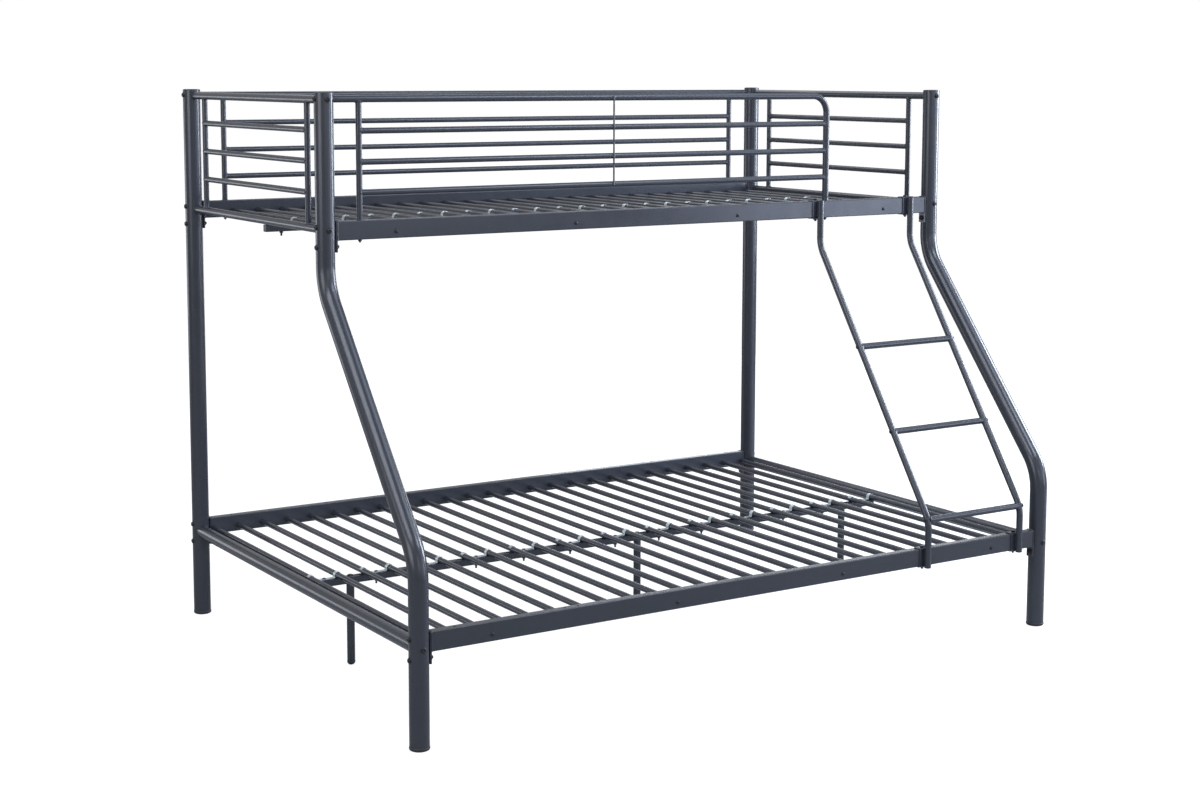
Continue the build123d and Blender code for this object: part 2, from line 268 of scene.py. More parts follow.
def skin(bm, rings, closed=False):
    """Faces between rings of vertices that follow one another."""
    pairs = list(zip(rings, rings[1:]))
    if closed:
        pairs.append((rings[-1], rings[0]))
    for low, high in pairs:
        for n in range(len(low)):
            m = (n + 1) % len(low)
            bm.faces.new((low[n], low[m], high[m], high[n]))


def close_ends(bm, rings):
    """Flat faces over the first and the last ring."""
    bm.faces.new(rings[0][::-1])
    bm.faces.new(rings[-1])


def sweep(bm, path, section, across, ends=True):
    """A section carried along a line that lies square to the direction across."""
    path = [Vector(p) for p in path]
    rings = []
    for n, point in enumerate(path):
        tangent = (path[min(n + 1, len(path) - 1)] - path[max(n - 1, 0)]).normalized()
        side = across.cross(tangent).normalized()
        rings.append([bm.verts.new(point + across * a + side * b) for a, b in section])
    skin(bm, rings)
    if ends:
        close_ends(bm, rings)
    return rings


def rod(bm, start, end, radius, sides):
    """A straight round bar."""
    direction = (Vector(end) - Vector(start)).normalized()
    sweep(bm, (start, end), circle(radius, sides), direction.orthogonal().normalized())


def hollow(bm, path, outer, inner, across):
    """A tube with a wall, open at both ends."""
    outside = sweep(bm, path, outer, across, ends=False)
    inside = sweep(bm, path, inner, across, ends=False)
    for end in (0, -1):
        skin(bm, [outside[end], inside[end]])


def turned(bm, at, axis, profile, sides=BOLT_SIDES, post=None):
    """A turned shape. The profile holds (radius, height), and a third entry makes that ring a hexagon.

    Where post is given, the direction of a post, the rings near a height of zero follow its round.
    """
    at = Vector(at)
    axis = Vector(axis).normalized()
    across = (post or axis.orthogonal()).normalized()
    side = axis.cross(across)
    saddle_height, saddle_fade = 2.0, 1.2
    rings = []
    for radius, height, *hexagon in profile:
        ring = []
        for n in range(sides):
            angle = math.tau * n / sides
            reach = radius
            if hexagon:
                reach /= math.cos((angle + math.pi / 6) % (math.pi / 3) - math.pi / 6)
            a, b = reach * math.cos(angle), reach * math.sin(angle)
            lift = height
            if post:
                follow = max(0.0, min(1.0, (saddle_height - height) / saddle_fade))
                lift -= follow * (post_r - math.sqrt(post_r**2 - b**2))
            ring.append(bm.verts.new(at + across * a + side * b + axis * lift))
        rings.append(ring)
    skin(bm, rings)
    close_ends(bm, rings)


def bead(bm, line, centre, axis, size):
    """A weld bead: a rippled closed cord of metal round an axis."""
    ripple_share, ripple_pitch, unevenness = 0.16, 3, 0.08
    line = [Vector(p) for p in line]
    centre = Vector(centre)
    axis = Vector(axis).normalized()
    rings = []
    phase = random.uniform(0, math.tau)
    ripples = max(9, round(len(line) / ripple_pitch))
    for n, point in enumerate(line):
        tangent = (line[(n + 1) % len(line)] - line[n - 1]).normalized()
        out = point - centre
        out = (out - axis * out.dot(axis)).normalized()
        out = (out - tangent * out.dot(tangent)).normalized()
        side = tangent.cross(out)
        ripple = 1 + ripple_share * math.sin(phase + math.tau * ripples * n / len(line))
        thick = size * ripple * random.uniform(1 - unevenness, 1 + unevenness)
        section = circle(thick, BEAD_SIDES)
        rings.append([bm.verts.new(point + out * a + side * b) for a, b in section])
    skin(bm, rings, closed=True)


def weld(bm, centre, bar, host, radius, host_radius, size=bar_weld):
    """The weld bead where a bar that leaves centre along bar meets a round host tube."""
    centre, bar, host = Vector(centre), Vector(bar).normalized(), Vector(host).normalized()
    side = bar.cross(host)
    line = []
    for a, b in circle(radius, WELD_POINTS):
        depth = math.sqrt(max(host_radius**2 - a**2, 0.0))
        line.append(centre + bar * depth + side * a + host * b)
    bead(bm, line, centre, bar, size)


def flat_weld(bm, centre, axis, radius, size):
    """The weld bead round a bar that stands on a flat face."""
    centre, axis = Vector(centre), Vector(axis)
    across = axis.orthogonal().normalized()
    side = axis.cross(across)
    line = [centre + across * a + side * b for a, b in circle(radius, WELD_POINTS)]
    bead(bm, line, centre, axis, size)


def seam_weld(bm, x, y, low, high):
    """A straight rippled weld that stands upright."""
    steps, end_share, ripple_share, ripple_turn = 40, 0.35, 0.14, 2.1
    rings = []
    for n in range(steps + 1):
        point = Vector((x, y, low + (high - low) * n / steps))
        thick = clamp_weld * (end_share if n in (0, steps) else 1)
        thick *= 1 + ripple_share * math.sin(n * ripple_turn)
        rings.append([bm.verts.new(point + Vector((a, b, 0))) for a, b in circle(thick, SEAM_SIDES)])
    skin(bm, rings)
    close_ends(bm, rings)


def bolt_head(bm, at, axis, size, post=None):
    """A low domed head with a hexagon socket, on a saddle washer where it sits on a post."""
    radius, height = size
    washer = 0.9
    foot = washer if post else 0
    if post:
        rim = radius + 1.3
        saddle = [(rim, -1.5), (rim, 0.3), (rim - 0.5, 0.8), (1, washer)]
        turned(bm, at, axis, saddle, COLLAR_SIDES, post)
    shoulder = foot + 0.25 * height
    profile = [(radius * 0.97, foot - 0.6), (radius, foot + 0.1), (radius, shoulder)]
    for share in (0.94, 0.84, 0.7, 0.56):
        rise = shoulder + (height - shoulder) * math.sqrt(1 - share**2) / 0.83
        profile.append((radius * share, min(rise, height)))
    socket = radius * 0.36
    profile += [
        (socket * 1.12, height, "hex"),
        (socket, height - 0.25, "hex"),
        (socket, height * 0.42, "hex"),
        (socket * 0.3, height * 0.3),
    ]
    turned(bm, at, axis, profile)


def hex_nut(bm, at, axis, size, washer=True, tail=0):
    """A hexagon nut, or a head of that shape, on its washer and with the bolt's end showing."""
    radius, height = size
    foot = 0
    if washer:
        foot = 1.0
        rim = radius + 1.6
        turned(bm, at, axis, [(rim, -0.4), (rim, 0.8), (rim - 0.3, foot), (1, foot)], WASHER_SIDES)
    flat = radius * math.cos(math.pi / 6)
    profile = [
        (flat * 0.96, foot - 0.3, "hex"),
        (flat, foot + 0.3, "hex"),
        (flat, height - 0.5, "hex"),
        (flat * 0.93, height),
        (radius * 0.56, height),
    ]
    if tail:
        shank = radius * 0.5
        profile += [
            (shank * 1.05, height - 0.4),
            (shank, height),
            (shank, tail - 0.5),
            (shank * 0.8, tail),
        ]
    turned(bm, at, axis, profile)


# Materials


def nodes_of(material):
    """The node tree of a new material, its principled shader and a helper that adds nodes."""
    material.use_nodes = True
    tree = material.node_tree
    shader = tree.nodes["Principled BSDF"]

    def add(kind, **values):
        node = tree.nodes.new(kind)
        for key, value in values.items():
            if key[0].isupper():
                node.inputs[key.replace("_", " ")].default_value = value
            else:
                setattr(node, key, value)
        return node

    return tree, shader, add


def noise(tree, add, coords, scale, detail=3.0, rough=0.55):
    """A noise texture in metres."""
    node = add("ShaderNodeTexNoise", Scale=scale, Detail=detail, Roughness=rough)
    tree.links.new(coords, node.inputs["Vector"])
    return node.outputs["Fac"]


def mapped(tree, add, value, low, high, start=0.3, end=0.7):
    """A value that runs from start to end, spread over the range from low to high."""
    node = add("ShaderNodeMapRange", From_Min=start, From_Max=end, To_Min=low, To_Max=high)
    tree.links.new(value, node.inputs["Value"])
    return node.outputs["Result"]


def mixed(tree, add, factor, one, other):
    """A colour between two, by a factor. A colour is given as a tuple or a socket."""
    node = add("ShaderNodeMix", data_type="RGBA")
    tree.links.new(factor, node.inputs[0])
    for socket, colour in ((node.inputs[6], one), (node.inputs[7], other)):
        if isinstance(colour, tuple):
            socket.default_value = (*colour, 1)
        else:
            tree.links.new(colour, socket)
    return node.outputs[2]


def edge_mask(tree, add, radius):
    """How near a point is to a sharp edge, from the angle between the true and the rounded normal."""
    bevel = add("ShaderNodeBevel", samples=4, Radius=radius)
    plain = add("ShaderNodeNewGeometry")
    dot = add("ShaderNodeVectorMath", operation="DOT_PRODUCT")
    tree.links.new(bevel.outputs["Normal"], dot.inputs[0])
    tree.links.new(plain.outputs["Normal"], dot.inputs[1])
    return mapped(tree, add, dot.outputs["Value"], 1.0, 0.0, start=0.86, end=0.99)


def bumps(tree, add, shader, layers):
    """Bump layers, each a height socket, its strength and its depth in metres."""
    last = None
    for height, strength, depth in layers:
        bump = add("ShaderNodeBump", Strength=strength, Distance=depth)
        tree.links.new(height, bump.inputs["Height"])
        if last:
            tree.links.new(last, bump.inputs["Normal"])
        last = bump.outputs["Normal"]
    tree.links.new(last, shader.inputs["Normal"])


def powder_coat():
    """Satin powder coat: dark blue-grey, faintly clouded, with orange peel and rubbed edges."""
    deep, pale = (0.033, 0.037, 0.048), (0.043, 0.048, 0.062)
    speck, worn = (0.058, 0.064, 0.081), (0.085, 0.092, 0.112)
    material = bpy.data.materials.new("powder_coat_blue_grey")
    tree, shader, add = nodes_of(material)
    coords = add("ShaderNodeTexCoord").outputs["Object"]
    cloud = noise(tree, add, coords, scale=5.0, detail=4.0)
    grain = noise(tree, add, coords, scale=900.0, detail=2.0)
    base = mixed(tree, add, cloud, deep, pale)
    specks = mapped(tree, add, grain, 0.0, 0.5, start=0.58, end=0.75)
    base = mixed(tree, add, specks, base, speck)
    edges = edge_mask(tree, add, 0.0012)
    rubbed = add("ShaderNodeMath", operation="MULTIPLY")
    tree.links.new(edges, rubbed.inputs[0])
    tree.links.new(mapped(tree, add, noise(tree, add, coords, scale=60.0), 0.1, 0.9), rubbed.inputs[1])
    base = mixed(tree, add, rubbed.outputs["Value"], base, worn)
    tree.links.new(base, shader.inputs["Base Color"])
    sheen = mapped(tree, add, noise(tree, add, coords, scale=24.0), 0.21, 0.27)
    tree.links.new(sheen, shader.inputs["Roughness"])
    shader.inputs["Specular IOR Level"].default_value = 0.5
    peel = noise(tree, add, coords, scale=320.0, detail=1.5)
    bumps(tree, add, shader, ((peel, 0.2, 0.00004), (grain, 0.14, 0.00002)))
    return material


def zinc_plate():
    """Zinc plate: pale blue-grey metal with a fine spangle and dull rubbed patches."""
    deep, pale, dull = (0.50, 0.57, 0.58), (0.62, 0.69, 0.70), (0.68, 0.73, 0.73)
    material = bpy.data.materials.new("zinc_plate")
    tree, shader, add = nodes_of(material)
    coords = add("ShaderNodeTexCoord").outputs["Object"]
    spangle = add("ShaderNodeTexVoronoi", Scale=700.0)
    tree.links.new(coords, spangle.inputs["Vector"])
    grey = add("ShaderNodeRGBToBW")
    tree.links.new(spangle.outputs["Color"], grey.inputs["Color"])
    base = mixed(tree, add, grey.outputs["Val"], deep, pale)
    patches = noise(tree, add, coords, scale=70.0)
    base = mixed(tree, add, mapped(tree, add, patches, 0.0, 0.6), base, dull)
    tree.links.new(base, shader.inputs["Base Color"])
    tree.links.new(mapped(tree, add, patches, 0.28, 0.5), shader.inputs["Roughness"])
    shader.inputs["Metallic"].default_value = 0.75
    drawn = noise(tree, add, coords, scale=1500.0, detail=2.0)
    bumps(tree, add, shader, ((patches, 0.2, 0.0002), (drawn, 0.3, 0.00003)))
    return material


def black_plastic():
    """Moulded plastic of the caps: near black, with a fine spark texture and paler edges."""
    deep, pale, worn = (0.014, 0.015, 0.017), (0.026, 0.027, 0.031), (0.055, 0.057, 0.062)
    material = bpy.data.materials.new("black_plastic")
    tree, shader, add = nodes_of(material)
    coords = add("ShaderNodeTexCoord").outputs["Object"]
    cloud = noise(tree, add, coords, scale=40.0)
    base = mixed(tree, add, cloud, deep, pale)
    base = mixed(tree, add, edge_mask(tree, add, 0.001), base, worn)
    tree.links.new(base, shader.inputs["Base Color"])
    tree.links.new(mapped(tree, add, cloud, 0.42, 0.6), shader.inputs["Roughness"])
    spark = noise(tree, add, coords, scale=1400.0, detail=2.0, rough=0.6)
    bumps(tree, add, shader, ((spark, 0.5, 0.00006),))
    return material


def black_oxide():
    """Blackened steel of the bolts: dark satin metal, brighter where tools and edges have rubbed it."""
    deep, pale, worn = (0.012, 0.013, 0.015), (0.030, 0.031, 0.034), (0.045, 0.046, 0.050)
    material = bpy.data.materials.new("black_oxide_steel")
    tree, shader, add = nodes_of(material)
    coords = add("ShaderNodeTexCoord").outputs["Object"]
    cloud = noise(tree, add, coords, scale=120.0)
    base = mixed(tree, add, cloud, deep, pale)
    base = mixed(tree, add, edge_mask(tree, add, 0.0006), base, worn)
    tree.links.new(base, shader.inputs["Base Color"])
    tree.links.new(mapped(tree, add, cloud, 0.3, 0.48), shader.inputs["Roughness"])
    shader.inputs["Metallic"].default_value = 0.35
    turned_marks = noise(tree, add, coords, scale=900.0, detail=2.0)
    bumps(tree, add, shader, ((turned_marks, 0.3, 0.00005),))
    return material


finishes = {
    "steel": powder_coat(),
    "zinc": zinc_plate(),
    "cap": black_plastic(),
    "bolt": black_oxide(),
}


# Making of pieces


def finish_mesh(name, bm):
    """A mesh in metres from one that was built in millimetres, with its faces turned outwards."""
    bmesh.ops.scale(bm, vec=(MM, MM, MM), verts=bm.verts)
    bmesh.ops.recalc_face_normals(bm, faces=bm.faces)
    mesh = bpy.data.meshes.new(name)
    bm.to_mesh(mesh)
    bm.free()
    return mesh


def linked(name, data):
    """A new object of the scene."""
    thing = bpy.data.objects.new(name, data)
    bpy.context.scene.collection.objects.link(thing)
    return thing


def drilled(mesh, holes):
    """The mesh with round holes cut in it. Each hole is (start, end, radius)."""
    bm = bmesh.new()
    for start, end, radius in holes:
        rod(bm, start, end, radius, HOLE_SIDES)
    cutter = linked("cutter", finish_mesh("cutter", bm))
    solid = linked("drilled", mesh)
    cut = solid.modifiers.new("holes", "BOOLEAN")
    cut.operation = "DIFFERENCE"
    cut.solver = "EXACT"
    cut.object = cutter
    cut_solid = solid.evaluated_get(bpy.context.evaluated_depsgraph_get())
    result = bpy.data.meshes.new_from_object(cut_solid)
    for thing in (cutter, solid):
        bpy.data.objects.remove(thing)
    return result


def piece(name, slot, mesh, nodes=(), weighted=False, angle=40):
    """A finished piece of the object, smooth up to an angle, that stands for the nodes named."""
    for face in mesh.polygons:
        face.use_smooth = True
    mesh.set_sharp_from_angle(angle=math.radians(angle))
    mesh.materials.clear()
    mesh.materials.append(finishes[slot])
    thing = linked(name, mesh)
    if weighted:
        normals = thing.modifiers.new("normals", "WEIGHTED_NORMAL")
        normals.keep_sharp = True
    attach(thing, BODY)
    if nodes:
        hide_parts(*nodes)


def built(name, slot, shape, nodes=(), **options):
    """A piece from a function that fills a bmesh."""
    bm = bmesh.new()
    shape(bm)
    piece(name, slot, finish_mesh(name, bm), nodes, **options)


# Posts and their caps


def post_line(place, x):
    """The centre line of a post."""
    foot_z = foot_height - 2
    if place == "back":
        return [Vector((x, back_y, foot_z)), Vector((x, back_y, post_top))]
    corners = (
        (x, front_y["lower"], foot_z),
        (x, front_y["lower"], post_corner_z["lower"]),
        (x, front_y["upper"], post_corner_z["upper"]),
        (x, front_y["upper"], post_top),
    )
    return rounded(corners, post_bend_radius, 18)


def make_posts():
    """The four posts, tubes with a wall that shows round the top caps."""
    outer = circle(post_r, POST_SIDES)
    inner = circle(post_r - post_wall, POST_SIDES)
    for place in ("back", "front"):
        for side, x in post_x.items():
            def shape(bm):
                hollow(bm, post_line(place, x), outer, inner, X_AXIS)

            built(f"post_tube_{place}_{side}", "steel", shape, [f"post_{place}_{side}"])


def make_post_caps():
    """Black caps: a bulging foot under each post and a low domed plug in each top."""
    rim = post_r + foot_bulge
    foot_profile = [
        (post_r - 5, 0),
        (post_r - 3.4, 0),
        (post_r - 1.2, 1.0),
        (rim - 0.4, 3.0),
        (rim, 5.2),
        (rim - 0.1, 7.2),
        (rim - 0.6, foot_height + 0.6),
        (post_r - 0.6, foot_height + 1.2),
    ]
    plug_profile = [
        (top_cap_r - 0.3, -top_cap_depth),
        (top_cap_r - 0.2, -1),
        (top_cap_r, 0),
        (top_cap_r - 0.2, 0.5),
        (top_cap_r - 0.9, 0.95),
        (top_cap_r - 3, 1.2),
        (top_cap_r * 0.6, top_cap_height * 0.95),
        (1, top_cap_height),
    ]

    def feet(bm):
        for x in post_x.values():
            for y in (back_y, front_y["lower"]):
                turned(bm, (x, y, 0), Z_AXIS, foot_profile, CAP_SIDES)

    def plugs(bm):
        for x in post_x.values():
            for y in (back_y, front_y["upper"]):
                turned(bm, (x, y, post_top), Z_AXIS, plug_profile, CAP_SIDES)

    built("post_feet", "cap", feet, ["post_foot_caps"])
    built("post_plugs", "cap", plugs, ["post_top_caps"])


# Rails


def rail_holes(bed, y, inward):
    """The spare holes down through a rail, and the holes for slats in its inner face."""
    middle = rail_top[bed] - rail_height / 2
    z = slat_z(bed)
    holes = []
    for spot in spare_hole_x:
        for x in (-spot, spot):
            holes.append(((x, y, middle - rail_height), (x, y, middle + rail_height), spare_hole_r))
    for number in range(1, slat_count + 1):
        x = slat_x(number)
        start = (x, y + inward * slat_hole_start, z)
        end = (x, y + inward * slat_hole_end, z)
        holes.append((start, end, slat_r + slat_hole_gap))
    return holes


def rail_section(width, height, corner):
    """Section of a rail, given for a sweep with its first direction upwards."""
    return [(b, a) for a, b in rounded_box(width, height, corner)]


def make_rail(bed, place):
    """A rail with rounded corners, drilled for slats and ladder, and its welded end plates."""
    y = back_y if place == "back" else front_y[bed]
    inward = -1 if place == "back" else 1
    middle = rail_top[bed] - rail_height / 2
    inner_width, inner_height = rail_width - 2 * rail_wall, rail_height - 2 * rail_wall
    bm = bmesh.new()
    hollow(
        bm,
        ((-plate_face, y, middle), (plate_face, y, middle)),
        rail_section(rail_width, rail_height, rail_corner),
        rail_section(inner_width, inner_height, rail_corner - rail_wall),
        Z_AXIS,
    )
    tube = drilled(finish_mesh("rail", bm), rail_holes(bed, y, inward))

    bm = bmesh.new()
    bm.from_mesh(tube)
    bmesh.ops.scale(bm, vec=(1 / MM, 1 / MM, 1 / MM), verts=bm.verts)
    plate_z = rail_top[bed] - plate_height / 2
    plate_section = rounded_box(rail_width, plate_height, plate_corner, 3)
    seam = rounded_box(rail_width + 0.2, rail_height + 0.2, rail_corner, 12)
    for end in (-1, 1):
        face, outer = end * plate_face, end * (plate_face + plate_thickness)
        sweep(bm, ((face, y, plate_z), (outer, y, plate_z)), plate_section, Y_AXIS)
        loop = [Vector((face, y + a, middle + b)) for a, b in seam]
        bead(bm, loop, (face, y, middle), X_AXIS, plate_weld)
    name, mesh = f"rail_tube_{bed}_{place}", finish_mesh("rail", bm)
    piece(name, "steel", mesh, [f"{bed}_rail_{place}"], weighted=True, angle=35)


# Slats, centre beams, clips and centre legs


def make_slats(bed):
    """Round slats that enter the rails, the tie slats as pieces of their own."""
    inside = rail_width / 2 - slat_reach
    z = slat_z(bed)
    groups = {f"{bed}_tie_slat_{order}": [n] for order, n in enumerate(tie_slat_numbers, start=1)}
    groups[f"{bed}_slats"] = [n for n in range(1, slat_count + 1) if n not in tie_slat_numbers]
    for node, numbers in groups.items():
        def shape(bm):
            for n in numbers:
                x = slat_x(n)
                rod(bm, (x, front_y[bed] + inside, z), (x, back_y - inside, z), slat_r, BAR_SIDES)

        built(f"{node}_round", "steel", shape, [node])


def make_beam(bed):
    """The square beam under the slats, with a black plug in each end."""
    y = beam_y[bed]
    z = slat_z(bed) - slat_r - beam_size / 2
    inner_size = beam_size - 2 * beam_wall
    outer = rounded_box(beam_size, beam_size, beam_corner)
    inner = rounded_box(inner_size, inner_size, beam_corner - beam_wall)

    def shape(bm):
        hollow(bm, ((-beam_reach, y, z), (beam_reach, y, z)), outer, inner, Y_AXIS)

    def plugs(bm):
        start = beam_reach - beam_plug_start
        head = (beam_reach + beam_plug_out, beam_size - 0.6)
        shank = (beam_reach - beam_plug_depth, inner_size - 0.4)
        for end in (-1, 1):
            for reach, size in (head, shank):
                section = rounded_box(size, size, beam_plug_corner)
                sweep(bm, ((end * start, y, z), (end * reach, y, z)), section, Y_AXIS)

    built(f"{bed}_beam_tube", "steel", shape, [f"{bed}_centre_beam"], weighted=True)
    built(f"{bed}_beam_plugs", "cap", plugs, weighted=True)


def clip_line(hook, middle, y, base):
    """Middle line of one arm of a clip, from its screw to the tip beyond the top of the slat."""
    centre_x = middle + hook * slat_pitch / 2
    centre_z = base + slat_r
    reach = slat_r + clip_slack + clip_thickness / 2
    rise = centre_x - hook * reach
    low = base + clip_thickness / 2
    line = [
        Vector((middle, y, low)),
        Vector((rise - hook * 3.0, y, low)),
        Vector((rise - hook * 1.0, y, low + 0.7)),
        Vector((rise, y, low + 2.6)),
    ]
    steps = 12
    for step in range(steps + 1):
        angle = math.radians(180 - clip_wrap * step / steps)
        x = centre_x + hook * reach * math.cos(angle)
        line.append(Vector((x, y, centre_z + reach * math.sin(angle))))
    return line


def make_clips(bed):
    """Zinc straps that lie on the beam and hook over two slats each, and their black screws."""
    base = slat_z(bed) - slat_r
    y = beam_y[bed]
    edge = 0.35
    w, t = clip_width / 2, clip_thickness / 2
    groove, rib = t - clip_rib, -t - clip_rib * 0.3
    section = [(w, t - edge), (w - edge, t), (2.0, t), (0.9, groove), (-0.9, groove), (-2.0, t)]
    section += [(edge - w, t), (-w, t - edge), (-w, edge - t), (edge - w, -t)]
    section += [(-2.2, -t), (-1.4, rib), (1.4, rib), (2.2, -t), (w - edge, -t), (w, edge - t)]
    head_profile = [
        (screw_head_r, -0.4),
        (screw_head_r, 0.8),
        (screw_head_r * 0.86, 1.9),
        (screw_head_r * 0.5, screw_head_height - 0.1),
        (screw_slot_r + 0.2, screw_head_height),
        (screw_slot_r, screw_head_height - 1.4),
    ]
    nut_profile = [
        (screw_nut_r, -0.4, "hex"),
        (screw_nut_r, screw_nut - 0.5, "hex"),
        (screw_nut_r - 0.6, screw_nut),
        (screw_tail_r + 0.3, screw_nut + 0.1),
        (screw_tail_r, screw_nut + 0.2),
        (screw_tail_r, screw_tail - 1),
        (screw_tail_r * 0.7, screw_tail),
    ]
    middles = [(slat_x(n) + slat_x(n + 1)) / 2 for n in range(1, slat_count, 2)]

    def straps(bm):
        for middle in middles:
            for hook in (-1, 1):
                sweep(bm, clip_line(hook, middle, y, base), section, Y_AXIS)

    def screws(bm):
        for middle in middles:
            turned(bm, (middle, y, base + clip_thickness), Z_AXIS, head_profile)
            turned(bm, (middle, y, base - beam_size), -Z_AXIS, nut_profile, SCREW_SIDES)

    built(f"{bed}_clip_straps", "zinc", straps, [f"{bed}_slat_clips"], weighted=True, angle=50)
    built(f"{bed}_clip_screws", "bolt", screws)


def make_legs():
    """Round legs under the lower beam with a domed foot, a weld on top and knobs on the beam."""
    y = beam_y["lower"]
    top = slat_z("lower") - slat_r - beam_size
    spots = [(slat_x(n) + slat_x(n + 1)) / 2 for n in leg_slat_numbers]
    foot_r = leg_r + 0.5
    turns = [math.radians(angle) for angle in range(20, 91, 10)]
    foot_profile = [
        (foot_r * math.sin(turn), leg_dome * (math.cos(turns[0]) - math.cos(turn))) for turn in turns
    ]
    foot_profile += [(foot_r, leg_foot_height - 0.4), (leg_r - 0.4, leg_foot_height)]
    knob_profile = [
        (leg_knob_r - 0.4, -0.3),
        (leg_knob_r, 0.4),
        (leg_knob_r, leg_knob_height * 0.5),
        (leg_knob_r - 0.7, leg_knob_height * 0.8),
        (leg_knob_r - 2.6, leg_knob_height - 0.1),
        (1, leg_knob_height),
    ]
    for name, x in zip(("left", "middle", "right"), spots):
        def shape(bm):
            rod(bm, (x, y, leg_dome - 0.6), (x, y, top - 0.2), leg_r, COLLAR_SIDES)
            flat_weld(bm, (x, y, top), Z_AXIS, leg_r - 0.6, leg_weld)

        def foot(bm):
            turned(bm, (x, y, 0), Z_AXIS, foot_profile, COLLAR_SIDES)

        built(f"centre_leg_tube_{name}", "steel", shape, [f"centre_leg_{name}"])
        built(f"centre_leg_foot_{name}", "cap", foot)

    def knobs(bm):
        for x in spots:
            turned(bm, (x, y, top + beam_size), Z_AXIS, knob_profile, COLLAR_SIDES)

    built("centre_leg_knobs_round", "cap", knobs, ["centre_leg_knobs"])


# Ends of the beds


def make_lower_ends():
    """The thick tubes between the feet of the posts."""
    front, back = front_y["lower"] + lower_end_setback, back_y - lower_end_setback
    for side, x in post_x.items():
        def shape(bm):
            rod(bm, (x, front, lower_end_z), (x, back, lower_end_z), lower_end_r, CAP_SIDES)

        built(f"lower_end_round_{side}", "steel", shape, [f"lower_end_tube_{side}"])


def make_upper_ends():
    """Welded end frames of the upper bed."""
    tube_front, tube_back = front_y["upper"] + tube_setback, back_y - tube_setback
    front, back = front_y["upper"] + panel_upright_inset, back_y - panel_upright_inset
    top, bottom = panel_z["top"], panel_z["bottom"]
    seam_r = bar_r - 0.1
    for side, x in post_x.items():
        def shape(bm):
            for z in (top, bottom):
                rod(bm, (x, tube_front, z), (x, tube_back, z), panel_tube_r, TUBE_SIDES)
            for y in (front, back):
                rod(bm, (x, y, bottom + upright_setback), (x, y, top - upright_setback), bar_r, BAR_SIDES)
                weld(bm, (x, y, bottom), Z_AXIS, Y_AXIS, bar_r, panel_tube_r)
                weld(bm, (x, y, top), -Z_AXIS, Y_AXIS, bar_r, panel_tube_r)
            for z in panel_bar_z:
                rod(bm, (x, front + bar_setback, z), (x, back - bar_setback, z), bar_r, BAR_SIDES)
                weld(bm, (x, front, z), Y_AXIS, Z_AXIS, seam_r, bar_r)
                weld(bm, (x, back, z), -Y_AXIS, Z_AXIS, seam_r, bar_r)

        built(f"upper_end_frame_{side}", "steel", shape, [f"upper_end_panel_{side}"])


# Guards


def guard_bars(bm, y, left, right):
    """The three bars of a guard between two uprights, welded at both ends."""
    seam_r = bar_r - 0.1
    for z in guard_bar_z:
        rod(bm, (left + bar_setback, y, z), (right - bar_setback, y, z), bar_r, BAR_SIDES)
        weld(bm, (left, y, z), X_AXIS, Z_AXIS, seam_r, bar_r)
        weld(bm, (right, y, z), -X_AXIS, Z_AXIS, seam_r, bar_r)


def collar(bm, x, y, radius, width):
    """A thin collar round a tube that stands on an upper rail."""
    rim = radius + width
    profile = [(rim, -0.3), (rim, 0.9), (rim - 0.4, 1.2), (radius, 1.2)]
    turned(bm, (x, y, rail_top["upper"]), Z_AXIS, profile, COLLAR_SIDES)


def guard_upright(bm, x, y):
    """An upright of a guard, welded under its top tube and standing on the rail."""
    low, high = rail_top["upper"] - guard_sink, guard_z - upright_setback
    rod(bm, (x, y, low), (x, y, high), bar_r, BAR_SIDES)
    weld(bm, (x, y, guard_z), -Z_AXIS, X_AXIS, bar_r, guard_tube_r)
    collar(bm, x, y, bar_r, 2.2)


def strut(bm):
    """The thin upright before the front guard's bars, with dabs of weld on both sides of it."""
    low, high = guard_bar_z[0] - 3, guard_z + 4
    rod(bm, (strut_x, strut_y, low), (strut_x, strut_y, high), strut_r, STRUT_SIDES)
    dab = [(2.6, -0.8), (2.4, 0.3), (1.5, 1.0), (0.5, 1.2)]
    for z in (*guard_bar_z, guard_z):
        reach = bar_r if z < guard_z else guard_tube_r
        y = front_y["upper"] - reach - 0.2
        for hand in (-1, 1):
            x = strut_x + hand * (strut_r + 0.2)
            turned(bm, (x, y, z), (hand * 0.35, -1, 0), dab, DAB_SIDES)


def make_guards():
    """The back guard from post to post, and the front one that leaves an entry for the ladder."""
    left, right = -half_length + tube_setback, half_length - tube_setback

    def back(bm):
        rod(bm, (left, back_y, guard_z), (right, back_y, guard_z), guard_tube_r, TUBE_SIDES)
        guard_bars(bm, back_y, -guard_upright_x, guard_upright_x)
        for x in (-guard_upright_x, guard_upright_x):
            guard_upright(bm, x, back_y)

    def front(bm):
        y = front_y["upper"]
        low = rail_top["upper"] - guard_sink
        corners = ((left, y, guard_z), (guard_leg_x, y, guard_z), (guard_leg_x, y, low))
        line = rounded(corners, guard_bend_radius, 14)
        sweep(bm, line, circle(guard_tube_r, TUBE_SIDES), Y_AXIS)
        guard_bars(bm, y, -guard_upright_x, guard_leg_x)
        guard_upright(bm, -guard_upright_x, y)
        collar(bm, guard_leg_x, y, guard_tube_r, 2)
        strut(bm)

    built("guard_back_tubes", "steel", back, ["guard_back"])
    built("guard_front_tubes", "steel", front, ["guard_front"])


# Ladder


